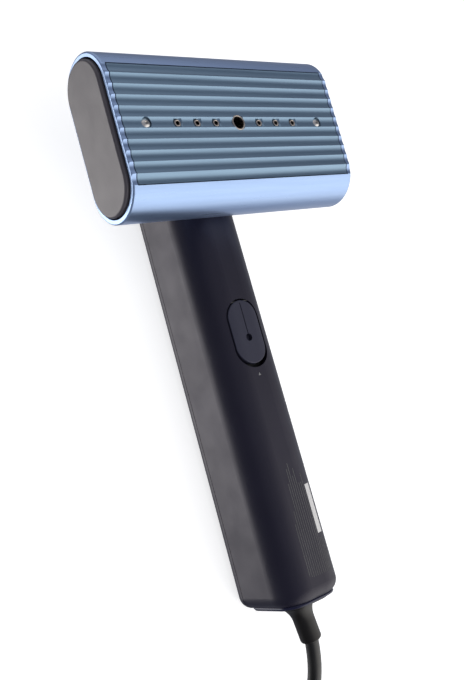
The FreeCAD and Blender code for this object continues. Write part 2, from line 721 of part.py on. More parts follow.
def make_back_cover():
    """Back half of the handle, with openings for the trigger, the indicator and four screws."""
    body = handle_solid("handle_back")
    handle_hollow(body)
    above = make_sketch(body, "XY_Plane", d.seam_height - d.seam_gap)
    add_rectangle(above, as_size(-40), as_size(40), as_size(-160), as_size(160))
    pocket(body, above, reverse=True)
    under = make_sketch(body, "XY_Plane", 0)
    add_rectangle(under, as_size(-40), as_size(40), as_size(-160), as_size(160))
    pocket(body, under)
    opening = make_sketch(body, "XY_Plane", 0)
    gap = d.trigger_gap
    add_stadium(opening, 0, d.trigger_along, d.trigger_width / 2 + gap, d.trigger_length / 2 + gap)
    pocket(body, opening, d.seam_height, reverse=True)
    holes = make_sketch(body, "XY_Plane", 0)
    add_circle(holes, 0, d.lens_along, d.lens_radius)
    for x, y in cover_screw_places():
        add_circle(holes, x, y, d.cover_screw_radius + 0.2)
    pocket(body, holes, d.seam_height, reverse=True)
    sinks = make_sketch(body, "XY_Plane", 0)
    for x, y in cover_screw_places():
        add_circle(sinks, x, y, d.cover_head_radius + 0.3)
    pocket(body, sinks, 2.4, reverse=True)
    return node(body, "back_cover")


def make_cover_screws():
    screws = []
    for i, (x, y) in enumerate(cover_screw_places(), start=1):
        head = make_cylinder(f"cover_head_{i}", d.cover_head_radius, 1.5, (x, y, 0.8))
        shank = make_cylinder(f"cover_shank_{i}", d.cover_screw_radius - 0.02, 12, (x, y, 1.5))
        slot = make_cylinder(f"cover_socket_{i}", 1.0, 1.2, (x, y, 0.4))
        screws.append(cut(f"cover_screw_{i}", fuse(f"cover_screw_blank_{i}", head, shank), slot))
    node(fuse("cover_screw_set", *screws), "cover_screws")


def make_base_cap():
    """Cap on the handle's foot, a little proud, with a hole for the cord's boot."""
    body = make_body("base_cap_body")
    sketch = make_sketch(body, "XZ_Plane", d.handle_foot)
    inset = d.base_inset
    add_rounded(sketch, inset - d.width_foot / 2, d.width_foot / 2 - inset, inset + 0, d.depth_foot - inset,
                d.back_round - inset * 0.5, d.front_round - inset * 0.7)
    pad(body, sketch, d.base_proud)
    round_edges(body, edge_in_plane("Y", -d.handle_foot - d.base_proud), d.base_edge)
    hole = make_sketch(body, "XZ_Plane", d.handle_foot + d.base_proud + 1)
    add_circle(hole, 0, d.exit_height, d.sleeve_radius)
    pocket(body, hole, d.base_proud + 2)
    return node(body, "bottom_cap")


# ---------------------------------------------------------------- filling door and water side

def make_door():
    """Door cut from the handle's own surface, with its hinge bore, vent hole and vent line."""
    body = handle_solid("door_body")
    below = make_sketch(body, "XY_Plane", d.door_under)
    add_rectangle(below, as_size(-40), as_size(40), as_size(-160), as_size(160))
    pocket(body, below)
    around = make_sketch(body, "XY_Plane", d.door_under)
    add_rectangle(around, as_size(-40), as_size(40), as_size(-160), as_size(160))
    add_stadium(around, 0, (d.door_high - d.door_low) / 2, d.door_half_width, (d.door_high + d.door_low) / 2)
    pocket(body, around, reverse=True)
    round_edges(body, lambda edge: edge.BoundBox.ZMin > d.door_under.value + 0.5, d.door_edge)
    bore = make_sketch(body, "YZ_Plane")
    add_circle(bore, d.hinge_along, d.hinge_height, d.pin_radius + d.running_gap)
    pocket(body, bore, d.pin_length * 2, both_ways=True)
    vent = make_sketch(body, "XY_Plane", d.depth_foot)
    add_circle(vent, 0, -d.vent_along, d.vent_radius)
    pocket(body, vent, 3.2)
    line = make_sketch(body, "XY_Plane", d.depth_foot)
    add_rectangle(line, -d.vent_line / 2, d.vent_line / 2, as_size(0.4), d.hinge_along - d.line_short)
    pocket(body, line, 1.55)
    return node(body, "filling_door")


def make_door_parts():
    """Hinge pin, filler plug under the door, and the tray with the filler neck."""
    node(make_cylinder("pin", d.pin_radius, d.pin_length, (-d.pin_length / 2, d.hinge_along, d.hinge_height),
                       ALONG_X), "door_pin")
    node(make_cylinder("plug", d.plug_radius, d.door_under - d.plug_bottom,
                       (0, -d.neck_along, d.plug_bottom)), "door_seal")
    body = make_body("tray")
    sketch = make_sketch(body, "XY_Plane", d.tray_top)
    add_stadium(sketch, 0, (d.opening_high - d.opening_low) / 2, d.door_half_width + d.door_gap + 1,
                (d.opening_high + d.opening_low) / 2 + 1)
    pad(body, sketch, d.tray_thick, reverse=True)
    neck = make_sketch(body, "XY_Plane", d.tray_top - d.tray_thick)
    add_circle(neck, 0, -d.neck_along, d.neck_bore + 1.6)
    pad(body, neck, d.tray_top - d.tray_thick - d.tank_roof, reverse=True)
    bore = make_sketch(body, "XY_Plane", d.tray_top)
    add_circle(bore, 0, -d.neck_along, d.neck_bore)
    pocket(body, bore, d.tray_top - d.tank_roof + 1)
    node(body, "filler_neck")


def make_tank():
    """Long water tank beside the hose, closed but for its filler hole and its outlet."""
    length = d.tank_foot + d.tank_top_along
    width = d.tank_left + d.tank_right
    height = d.tank_roof - d.tank_floor
    outer = rounded_block("tank_block", (width, length, height), (-d.tank_left, -d.tank_foot, d.tank_floor),
                          as_size(3))
    w = d.tank_wall
    inner = rounded_block("tank_hollow", (width - w * 2, length - w * 2, height - w * 2),
                          (w - d.tank_left, w - d.tank_foot, d.tank_floor + w), as_size(2))
    hole = make_cylinder("tank_filler", d.neck_bore, 5, (0, -d.neck_along, d.tank_roof - 3))
    outlet = make_cylinder("tank_outlet", d.hose_radius, 5, (0, -d.tank_foot - 1, d.pump_height), ALONG_Y)
    node(cut("tank", outer, inner, hole, outlet), "water_tank")
    mesh = make_cylinder("filter_body", 3.6, 9, (0, w - d.tank_foot + 0.1, d.pump_height), ALONG_Y)
    way = make_cylinder("filter_way", 2.6, 8, (0, w - d.tank_foot - 1, d.pump_height), ALONG_Y)
    node(cut("filter", mesh, way), "tank_filter")


def make_pump():
    """Small pump with an inlet on its nose, held in two rubber rings."""
    foot = -d.pump_foot
    nose = d.pump_length - d.pump_foot
    case = make_cylinder("pump_case", d.pump_radius, d.pump_length, (0, foot, d.pump_height), ALONG_Y)
    spout = make_cylinder("pump_spout", d.hose_radius + 0.9, 4, (0, nose - 0.5, d.pump_height), ALONG_Y)
    way = make_cylinder("pump_way", d.hose_radius, 8, (0, nose - 3, d.pump_height), ALONG_Y)
    outlet_at = nose - 5
    outlet = make_cylinder("pump_outlet", 1.6, d.hose_side - 3, (3, outlet_at, d.pump_height), ALONG_X)
    node(cut("pump_parts", fuse("pump_body", case, spout, outlet), way), "pump")
    rings = []
    for i, at in enumerate((4, 17), start=1):
        ring = make_cylinder(f"cushion_{i}", d.pump_radius + 1.8, 4, (0, foot + at, d.pump_height), ALONG_Y)
        hole = make_cylinder(f"cushion_hole_{i}", d.pump_radius + 0.02, 6, (0, foot + at - 1, d.pump_height),
                             ALONG_Y)
        rings.append(cut(f"cushion_ring_{i}", ring, hole))
    node(fuse("cushions", *rings), "pump_cushions")
    reach = -d.tank_foot - nose
    tube = make_cylinder("suction_outer", d.hose_radius - 0.05, reach + 3,
                         (0, nose - 1.5, d.pump_height), ALONG_Y)
    core = make_cylinder("suction_inner", d.hose_bore, reach + 9, (0, nose - 4, d.pump_height), ALONG_Y)
    node(cut("suction", tube, core), "suction_tube")
    return outlet_at


def round_path(points, share=0.45):
    """A wire of straight runs joined by tangent arcs. Each arc is as large as its two runs allow:
    its radius is share of the shorter run, over the tangent of half the turn."""
    points = [FreeCAD.Vector(*point) for point in points]
    edges = []
    radii = []
    last = points[0]
    for before, corner, after in zip(points, points[1:], points[2:]):
        inward = corner - before
        outward = after - corner
        half_turn = inward.getAngle(outward) / 2
        setback = share * min(inward.Length, outward.Length)
        radii.append(setback / math.tan(half_turn))
        start = corner - inward.normalize() * setback
        end = corner + outward.normalize() * setback
        bisector = ((start + end) / 2 - corner).normalize()
        apex_distance = radii[-1] / math.cos(half_turn) - radii[-1]
        middle = corner + bisector * apex_distance
        edges.append(Part.LineSegment(last, start).toShape())
        edges.append(Part.Arc(start, middle, end).toShape())
        last = end
    edges.append(Part.LineSegment(last, points[-1]).toShape())
    return Part.Wire(edges), radii


def make_hose(outlet_at, seal_low):
    """Pressure hose from the pump's outlet along the tank's side to the rotary seal."""
    z = d.pump_height.value
    side = d.hose_side.value
    start = outlet_at.value + 1.2
    route = [(side, start, z), (side, 76.0, z), (7.0, 88.0, z - 4)]
    end = (0.0, d.head_along.value, seal_low.value - 2.2)
    path, _ = round_path(route + [end])
    item = doc.addObject("Part::Feature", "hose")
    item.Shape = sweep_circle(path, d.hose_radius.value)
    node(item, "water_hose")


# ---------------------------------------------------------------- electrics and trigger

def make_electrics():
    """Board with its switch, the indicator lens and the clamp that holds the cord."""
    length = d.board_foot + d.board_top
    board = rounded_block("board_block", (d.board_width, length, d.board_thick),
                          (-d.board_width / 2, -d.board_foot, d.board_bottom), as_size(2))
    parts = [make_box("relay", (14, 12, 6), (-10, -102, d.board_bottom + d.board_thick - 0.1)),
             make_box("terminal", (20, 8, 3), (-10, -90, d.board_bottom + d.board_thick - 0.1))]
    node(fuse("board", board, *parts), "control_board")
    half = d.switch_size / 2
    case = make_box("switch_case", (d.switch_size, d.switch_size, d.board_bottom - d.switch_bottom),
                    (-half, d.trigger_along - half, d.switch_bottom))
    node(case, "microswitch")
    node(make_cylinder("lens", d.lens_radius - 0.02, d.board_bottom - 0.7, (0, d.lens_along, 0.6)),
         "indicator_lens")
    clamp_at = -d.handle_foot + d.end_wall + 1.5
    block = make_box("clamp_block", (22, 9, 8), (-11, clamp_at, d.exit_height - 8.0))
    groove = make_cylinder("clamp_groove", d.cord_radius + 0.02, 12,
                           (0, clamp_at - 1, d.exit_height), ALONG_Y)
    holes = [make_cylinder(f"clamp_hole_{n}", 1.2, 12, (8 * s, clamp_at + 4.5, d.exit_height - 9))
             for n, s in ((1, -1), (2, 1))]
    node(cut("clamp", block, groove, *holes), "cord_clamp")
    screws = []
    for n, s in ((1, -1), (2, 1)):
        shank = make_cylinder(f"clamp_shank_{n}", 1.18, 7, (8 * s, clamp_at + 4.5, d.exit_height - 7))
        head = make_cylinder(f"clamp_head_{n}", 2.1, 1.4, (8 * s, clamp_at + 4.5, d.exit_height))
        screws.append(fuse(f"clamp_screw_{n}", shank, head))
    node(fuse("clamp_screw_set", *screws), "clamp_screws")


def make_trigger():
    """Sprung thumb button in the back cover: dished pad, retaining flange and stem."""
    body = make_body("trigger_body")
    face = make_sketch(body, "XY_Plane", d.trigger_recess)
    add_stadium(face, 0, d.trigger_along, d.trigger_width / 2, d.trigger_length / 2)
    flange_at = d.handle_wall + 0.3
    pad(body, face, flange_at - d.trigger_recess + d.trigger_flange_thick)
    round_edges(body, edge_in_plane("Z", d.trigger_recess), 0.6)
    wide = make_sketch(body, "XY_Plane", flange_at)
    grow = d.trigger_flange
    add_stadium(wide, 0, d.trigger_along, d.trigger_width / 2 + grow, d.trigger_length / 2 + grow)
    pad(body, wide, d.trigger_flange_thick)
    stem = make_sketch(body, "XY_Plane", flange_at + d.trigger_flange_thick)
    add_circle(stem, 0, d.trigger_along, d.trigger_stem)
    pad(body, stem, d.switch_bottom - d.trigger_travel - flange_at - d.trigger_flange_thick - 0.1)
    node(body, "trigger_button")

    low = flange_at + d.trigger_flange_thick + d.spring_wire + 0.02
    high = d.board_bottom - d.spring_wire - 0.02
    item = doc.addObject("Part::Helix", "spring_path")
    bind(item, "Radius", d.spring_radius)
    bind(item, "Pitch", d.spring_pitch)
    bind(item, "Height", high - low)
    item.Placement = FreeCAD.Placement()
    ring = doc.addObject("Part::Circle", "spring_ring")
    bind(ring, "Radius", d.spring_wire)
    place(ring, (d.spring_radius, 0, 0), FreeCAD.Rotation(FreeCAD.Vector(1, 0, 0), 90))
    coil = doc.addObject("Part::Sweep", "spring_coil")
    doc.recompute()
    coil.Sections = [ring]
    coil.Spine = (item, ["Edge1"])
    coil.Solid = True
    coil.Frenet = True
    place(coil, (0, d.trigger_along, low))
    node(coil, "trigger_spring")


# ---------------------------------------------------------------- cord and its fittings

def make_strain_relief():
    """Flared boot: a straight sleeve through the foot, then a turned boot leaning towards the cord."""
    foot = -d.handle_foot - d.base_proud
    inside = d.end_wall + d.base_proud
    sleeve = make_cylinder("boot_sleeve", d.sleeve_radius - 0.02, inside + 1.2,
                           (0, foot, d.exit_height), ALONG_Y)
    root = FreeCAD.Vector(0, foot.value, d.exit_height.value)
    tip = FreeCAD.Vector(*CORD_ROUTE[0])
    length = (tip - root).Length
    start = -3.0
    flare = d.boot_flare
    body = make_body("boot_turned")
    sketch = make_sketch(body, "XZ_Plane")
    rise = d.boot_root - d.boot_radius
    bend = (flare * flare + rise * rise) / (rise * 2)
    edge = d.boot_edge
    add_outline(sketch, [
        (as_size(0), as_size(start)), (d.boot_root + 0, as_size(start)), (d.boot_root + 0, as_size(0)),
        (d.boot_radius + 0, flare + 0, bend, -1), (d.boot_radius + 0, length - edge),
        (d.boot_radius - edge, as_size(length), edge, 1), (as_size(0), as_size(length))])
    item = body.newObject("PartDesign::Revolution", "boot_turn")
    item.Profile = sketch
    item.ReferenceAxis = (sketch, ["V_Axis"])
    item.Angle = 360
    lean = FreeCAD.Rotation(FreeCAD.Vector(0, 0, 1), tip - root)
    body.Placement = FreeCAD.Placement(root, lean)
    behind = make_box("boot_trim", (40, 20, 40), (-20, foot, d.exit_height - 20))
    boot = cut("boot_trimmed", body, behind)
    node(fuse("boot", boot, sleeve), "strain_relief")


def make_cord():
    """The drooping lead, its coil, the coil's tie and a plain two-pin plug lying on the coil."""
    path, radii = round_path(CORD_ROUTE)
    print("cord radii", [round(r, 1) for r in radii], "run length", round(path.Length, 1))
    item = doc.addObject("Part::Feature", "lead")
    item.Shape = sweep_circle(path, d.cord_radius.value)
    section = math.pi * d.cord_radius.value ** 2
    print("cord volume over section times length", round(item.Shape.Volume / (section * path.Length), 4))
    node(item, "power_cord")

    middle = (-d.coil_side, -d.coil_along)
    body = make_body("coil_body")
    sketch = make_sketch(body, "XY_Plane", d.coil_bottom)
    add_circle(sketch, 0, 0, d.coil_outer)
    add_circle(sketch, 0, 0, d.coil_inner)
    pad(body, sketch, d.coil_top - d.coil_bottom)
    round_edges(body, edge_in_plane("Z", d.coil_bottom, d.coil_top), d.coil_edge)
    place(body, (middle[0], middle[1], 0))
    node(body, "cord_coil")

    thick = d.tie_thick
    wide = d.coil_outer - d.coil_inner + d.tie_slack
    tall = d.coil_top - d.coil_bottom
    outer_side = middle[0] - d.coil_outer - d.tie_stand
    outside = make_box("tie_outside", (wide + thick * 2, d.tie_width, tall + thick * 2),
                       (outer_side - thick, middle[1] - d.tie_width / 2, d.coil_bottom - thick))
    inside = make_box("tie_inside", (wide, d.tie_width + 2, tall + d.hair * 2),
                      (outer_side, middle[1] - d.tie_width / 2 - 1, d.coil_bottom - d.hair))
    node(cut("tie", outside, inside), "cord_tie")
    make_plug(middle[0] - d.plug_back, middle[1] - d.plug_side, d.coil_top + d.plug_stand)


def make_plug(start, along, low):
    """A plain two-pin plug lying on the coil, its neck toward +X."""
    body = make_body("plug_shape")
    outline = make_sketch(body, "XY_Plane")
    narrow = d.plug_width / 2 - d.plug_waist
    wide = d.plug_width / 2
    shoulder = -d.plug_length * 0.55
    add_outline(outline, [(shoulder, -wide), (-d.plug_length, -wide), (-d.plug_length, wide),
                          (shoulder, wide), (as_size(0), narrow), (as_size(0), -narrow)][::-1])
    pad(body, outline, d.plug_thick)
    round_edges(body, lambda edge: abs(edge.BoundBox.XMin + d.plug_length.value) > 0.1, d.plug_edge)
    place(body, (start, along, low))
    height = low + d.plug_thick / 2
    neck = make_cone("plug_neck", d.cord_radius + d.neck_flare * 2, d.cord_radius + d.neck_flare,
                     d.plug_neck, (start - 1, along, height), ALONG_X)
    node(fuse("plug_whole", body, neck), "plug_body")
    pins = []
    for n, s in ((1, -1), (2, 1)):
        pin_at = (start - d.plug_length - d.blade_length, along + d.blade_spacing / 2 * s, height)
        pins.append(make_cylinder(f"blade_{n}", d.blade_radius, d.blade_length, pin_at, ALONG_X))
    node(fuse("blades", *pins), "plug_pins")


# ---------------------------------------------------------------- the whole steamer

def build():
    flutes = flute_cutter()
    make_head_shell(flutes)
    make_steam_plate(flutes)
    make_nozzles()
    make_plate_screws()
    make_end_cap("left_end_cap", -1)
    make_end_cap("right_end_cap", 1)
    chamber_floor = make_steam_generator()
    seal_low = make_swivel(chamber_floor)
    make_handle_shell()
    make_back_cover()
    make_cover_screws()
    make_base_cap()
    make_door()
    make_door_parts()
    make_tank()
    outlet_at = make_pump()
    make_hose(outlet_at, seal_low)
    make_electrics()
    make_trigger()
    make_strain_relief()
    make_cord()
    doc.recompute()


def check():
    """Stops if an object failed, a shape is bad, or a cut removed nothing."""
    for item in doc.Objects:
        if "Invalid" in item.State or "Error" in item.State:
            raise RuntimeError(f"{item.Label} failed: {item.State}")
        if item.TypeId in ("PartDesign::Pocket", "PartDesign::SubtractiveLoft"):
            before = item.BaseFeature.Shape.Volume
            if item.Shape.Volume > before - 0.01:
                raise RuntimeError(f"{item.Label} cut nothing")
    for item in nodes:
        if item.Shape.isNull() or not item.Shape.isValid() or not item.Shape.Solids:
            raise RuntimeError(f"{item.Label} has no valid solid")


def export():
    os.makedirs("parts", exist_ok=True)
    for item in nodes:
        item.Shape.exportStep(f"parts/{item.Label}.step")
        box = item.Shape.BoundBox
        print(f"{item.Label:18s} {len(item.Shape.Solids)} solids {item.Shape.Volume / 1000:8.2f} cm3  "
              f"x {box.XMin:7.2f} {box.XMax:7.2f}  y {box.YMin:8.2f} {box.YMax:8.2f}  "
              f"z {box.ZMin:6.2f} {box.ZMax:6.2f}")


build()
check()
export()
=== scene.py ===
import bpy
import bmesh
import json
import math
from mathutils import Matrix, Quaternion, Vector


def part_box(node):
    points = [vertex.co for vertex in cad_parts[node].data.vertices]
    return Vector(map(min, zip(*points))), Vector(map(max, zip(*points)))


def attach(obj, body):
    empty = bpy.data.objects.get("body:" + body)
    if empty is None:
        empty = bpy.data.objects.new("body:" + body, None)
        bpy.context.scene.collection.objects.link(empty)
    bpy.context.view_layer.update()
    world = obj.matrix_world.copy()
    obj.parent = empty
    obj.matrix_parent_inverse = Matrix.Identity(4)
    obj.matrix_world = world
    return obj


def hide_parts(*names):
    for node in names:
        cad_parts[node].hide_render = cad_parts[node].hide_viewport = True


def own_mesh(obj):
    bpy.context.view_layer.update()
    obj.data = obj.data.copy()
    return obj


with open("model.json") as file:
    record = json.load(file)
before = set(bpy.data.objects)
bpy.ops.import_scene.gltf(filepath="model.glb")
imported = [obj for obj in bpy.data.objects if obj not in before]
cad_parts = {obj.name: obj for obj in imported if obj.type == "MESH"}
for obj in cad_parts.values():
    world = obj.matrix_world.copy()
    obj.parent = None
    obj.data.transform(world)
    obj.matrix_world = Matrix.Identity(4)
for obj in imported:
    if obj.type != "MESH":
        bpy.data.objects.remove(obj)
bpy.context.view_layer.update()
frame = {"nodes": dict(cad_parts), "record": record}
nodes = frame["nodes"]
MM = 0.001


# ---------------------------------------------------------------- camera, floor and lights

CAMERA_PLACE = Vector((-265.8, -34.9, 364.1)) * MM
CAMERA_HEADING = math.radians(82.21)
CAMERA_DIP = math.radians(51.21)
CAMERA_ROLL = math.radians(68.46)
CAMERA_LENS = 45.6
SENSOR_WIDTH = 36
NEAREST_SEEN = 0.01


def make_camera():
    """Looks from above the head's end, rolled so that the handle hangs down in the picture."""
    data = bpy.data.cameras.new("camera")
    camera = bpy.data.objects.new("camera", data)
    bpy.context.scene.collection.objects.link(camera)
    level = math.cos(CAMERA_DIP)
    across = math.sin(CAMERA_HEADING) * level
    along = math.cos(CAMERA_HEADING) * level
    forward = Vector((across, along, -math.sin(CAMERA_DIP)))
    turn = forward.to_track_quat("-Z", "Y") @ Quaternion((0, 0, 1), CAMERA_ROLL)
    camera.matrix_world = Matrix.Translation(CAMERA_PLACE) @ turn.to_matrix().to_4x4()
    data.lens = CAMERA_LENS
    data.sensor_width = SENSOR_WIDTH
    data.clip_start = NEAREST_SEEN
    bpy.context.scene.camera = camera


LAMP_POWER = 4
LAMP_AIM = Vector((0, 0.03, 0.05))
LAMPS = {
    # place and size in metres
    "foot_panel": ((0.35, -1.0, 0.75), (1.0, 0.8)),
    "overhead": ((-0.2, -0.1, 1.5), (1.4, 1.4)),
}


def make_area_light(name, place, size):
    """A soft lamp aimed at the steamer, unseen in reflections."""
    data = bpy.data.lights.new(name, "AREA")
    data.shape = "RECTANGLE"
    data.size, data.size_y = size
    data.energy = LAMP_POWER
    lamp = bpy.data.objects.new(name, data)
    bpy.context.scene.collection.objects.link(lamp)
    lamp.visible_glossy = False
    lamp.location = place
    lamp.rotation_euler = (LAMP_AIM - Vector(place)).to_track_quat("-Z", "Y").to_euler()


PANELS = [
    # direction, cosines of the inner and outer edge, brightness
    ((0.60, -0.64, 0.46), 0.97, 0.56, 1.5),
    ((-0.56, 0.12, -0.81), 0.985, 0.88, 3.1),
    ((-0.20, -0.10, 0.97), 0.97, 0.80, 0.2),
    ((0.95, -0.05, -0.55), 0.95, 0.70, 0.35),
    ((-0.10, 0.95, 0.35), 0.95, 0.55, 0.5),
]
ROOM_LEVEL = 0.22
ROOM_TONE = (0.86, 0.93, 1.16)
PANEL_TONE = (1.02, 1.00, 0.97)


def make_world():
    """A dim room with soft bright panels, made from the direction alone: each panel adds to those before."""
    world = bpy.data.worlds.new("studio")
    world.use_nodes = True
    tree = world.node_tree
    sky = tree.nodes["Background"]
    direction = tree.nodes.new("ShaderNodeTexCoord").outputs["Generated"]
    total = None
    for aim, inner, outer, level in PANELS:
        dot = tree.nodes.new("ShaderNodeVectorMath")
        dot.operation = "DOT_PRODUCT"
        dot.inputs[1].default_value = Vector(aim).normalized()
        tree.links.new(direction, dot.inputs[0])
        soft = tree.nodes.new("ShaderNodeMapRange")
        soft.interpolation_type = "SMOOTHSTEP"
        for name, value in (("From Min", outer), ("From Max", inner), ("To Min", 0.0), ("To Max", level)):
            soft.inputs[name].default_value = value
        tree.links.new(dot.outputs["Value"], soft.inputs["Value"])
        add_up = tree.nodes.new("ShaderNodeMath")
        add_up.inputs[1].default_value = ROOM_LEVEL
        tree.links.new(soft.outputs["Result"], add_up.inputs[0])
        if total:
            tree.links.new(total, add_up.inputs[1])
        total = add_up.outputs["Value"]
    tree.links.new(total, sky.inputs["Strength"])
    tone = tree.nodes.new("ShaderNodeValToRGB")
    tone.color_ramp.elements[0].color = (*ROOM_TONE, 1)
    tone.color_ramp.elements[1].color = (*PANEL_TONE, 1)
    tree.links.new(total, tone.inputs["Fac"])
    tree.links.new(tone.outputs["Color"], sky.inputs["Color"])
    bpy.context.scene.world = world


FLOOR_HALF = 3.0
FLOOR_SHADE = (0.55, 0.55, 0.55)
FLOOR_GLOW = 0.74
BACKDROP_RADIUS = 4.0
BACKDROP_GLOW = 0.97
MATT = 0.95


def plain_material(name, colour, glow):
    made = bpy.data.materials.new(name)
    made.use_nodes = True
    shader = made.node_tree.nodes["Principled BSDF"]
    shader.inputs["Base Color"].default_value = (*colour, 1)
    shader.inputs["Roughness"].default_value = MATT
    shader.inputs["Specular IOR Level"].default_value = 0.0
    shader.inputs["Emission Color"].default_value = (1, 1, 1, 1)
    shader.inputs["Emission Strength"].default_value = glow
    return made


def place_on_stage(name, mesh, material):
    item = bpy.data.objects.new(name, mesh)
    item.data.materials.append(material)
    bpy.context.scene.collection.objects.link(item)
    return item


def make_floor():
    """A pale floor that shows in no reflection and lets light through from below."""
    mesh = bpy.data.meshes.new("floor")
    corners = [(x * FLOOR_HALF, y * FLOOR_HALF, 0) for x, y in ((-1, -1), (1, -1), (1, 1), (-1, 1))]
    mesh.from_pydata(corners, [], [(0, 1, 2, 3)])
    floor = place_on_stage("floor", mesh, plain_material("pale_floor", FLOOR_SHADE, FLOOR_GLOW))
    floor.visible_glossy = False
    floor.visible_shadow = False


def make_backdrop():
    """A white ball round everything, which only the camera sees."""
    shell = bmesh.new()
    bmesh.ops.create_uvsphere(shell, u_segments=48, v_segments=24, radius=BACKDROP_RADIUS)
    mesh = bpy.data.meshes.new("backdrop")
    shell.to_mesh(mesh)
    shell.free()
    backdrop = place_on_stage("backdrop", mesh, plain_material("pale_backdrop", (0, 0, 0), BACKDROP_GLOW))
    for name in ("visible_glossy", "visible_diffuse", "visible_transmission", "visible_shadow"):
        setattr(backdrop, name, False)


def make_studio():
    """White floor, a plain white backdrop all round, the room's panels and two soft lamps."""
    bpy.context.scene.view_settings.view_transform = "Standard"
    make_floor()
    make_backdrop()
    make_world()
    for name, (place, size) in LAMPS.items():
        make_area_light(name, place, size)


# ---------------------------------------------------------------- materials

def new_material(name):
    made = bpy.data.materials.new(name)
    made.use_nodes = True
    return made, made.node_tree, made.node_tree.nodes["Principled BSDF"]


def noise(tree, scale, detail=4.0, stretch=None, rough=0.5):
    """Noise over the object's own coordinates, in repeats per metre, stretched along an axis if asked."""
    source = tree.nodes.new("ShaderNodeTexCoord").outputs["Object"]
    if stretch:
        mapping = tree.nodes.new("ShaderNodeMapping")
        mapping.inputs["Scale"].default_value = stretch
        tree.links.new(source, mapping.inputs["Vector"])
        source = mapping.outputs["Vector"]
    made = tree.nodes.new("ShaderNodeTexNoise")
    made.inputs["Scale"].default_value = scale
    made.inputs["Detail"].default_value = detail
    made.inputs["Roughness"].default_value = rough
    tree.links.new(source, made.inputs["Vector"])
    return made.outputs["Fac"]


def ramp(tree, source, target, low, high, low_at=0.3, high_at=0.7):
    """Maps a noise to a range of colours or greys, for one input of the shader."""
    made = tree.nodes.new("ShaderNodeValToRGB")
    ends = made.color_ramp.elements
    ends[0].position = low_at
    ends[1].position = high_at
    ends[0].color = (*low, 1)
    ends[1].color = (*high, 1)
    tree.links.new(source, made.inputs["Fac"])
    tree.links.new(made.outputs["Color"], target)


def add_bump(tree, shader, height, strength, distance, before=None):
    """Roughens the surface by a noise, on top of an earlier bump if there is one."""
    bump = tree.nodes.new("ShaderNodeBump")
    bump.inputs["Strength"].default_value = strength
    bump.inputs["Distance"].default_value = distance
    tree.links.new(height, bump.inputs["Height"])
    if before:
        tree.links.new(before.outputs["Normal"], bump.inputs["Normal"])
    tree.links.new(bump.outputs["Normal"], shader.inputs["Normal"])
    return bump


def grey(value):
    return (value, value, value)


PLASTIC_GRAIN = 0.00002
PAINT_GRAIN = 0.00001
METAL_GRAIN = 0.00002
LENGTHWAYS = (1, 24, 24)


def moulded_plastic(name, dark, light, low_rough, high_rough, grain=2600, strength=0.35, specular=0.5,
                    tint=(1, 1, 1)):
    """Moulded plastic: slow drifts of tone, patchy gloss and a fine spark-eroded grain."""
    made, tree, shader = new_material(name)
    ramp(tree, noise(tree, scale=35, detail=5), shader.inputs["Base Color"], dark, light)
    ramp(tree, noise(tree, scale=90, detail=6), shader.inputs["Roughness"], grey(low_rough), grey(high_rough))
    add_bump(tree, shader, noise(tree, scale=grain, detail=3), strength, PLASTIC_GRAIN)
    shader.inputs["Specular IOR Level"].default_value = specular
    shader.inputs["Specular Tint"].default_value = (*tint, 1)
    return made


def painted_metal(name, dark, light, low_rough, high_rough):
    """Metallic lacquer on aluminium: a tone that drifts along the head, flakes and fine streaks."""
    made, tree, shader = new_material(name)
    drift = noise(tree, scale=14, detail=8, stretch=LENGTHWAYS, rough=0.65)
    ramp(tree, drift, shader.inputs["Base Color"], dark, light, low_at=0.2, high_at=0.8)
    patch = noise(tree, scale=30, detail=6, stretch=LENGTHWAYS)
    ramp(tree, patch, shader.inputs["Roughness"], grey(low_rough), grey(high_rough))
    specks = noise(tree, scale=5200, detail=2)
    flakes = add_bump(tree, shader, specks, strength=0.25, distance=PAINT_GRAIN)
    streaks = noise(tree, scale=260, detail=4, stretch=LENGTHWAYS)
    add_bump(tree, shader, streaks, strength=0.12, distance=PAINT_GRAIN, before=flakes)
    shader.inputs["Metallic"].default_value = 0.9
    shader.inputs["Coat Weight"].default_value = 0.25
    shader.inputs["Coat Roughness"].default_value = 0.25
    return made


def bare_metal(name, dark, light, low_rough, high_rough, streak=(1, 1, 1), scale=400):
    """Unpainted metal whose tone, gloss and surface follow one noise."""
    made, tree, shader = new_material(name)
    lines = noise(tree, scale, detail=6, stretch=streak)
    ramp(tree, lines, shader.inputs["Base Color"], dark, light)
    ramp(tree, lines, shader.inputs["Roughness"], grey(low_rough), grey(high_rough))
    add_bump(tree, shader, lines, strength=0.2, distance=METAL_GRAIN)
    shader.inputs["Metallic"].default_value = 1.0
    return made


def dress(node, material):
    """Gives a CAD node its material in every slot."""
    slots = nodes[node].data.materials
    if not slots:
        slots.append(material)
    for index in range(len(slots)):
        slots[index] = material


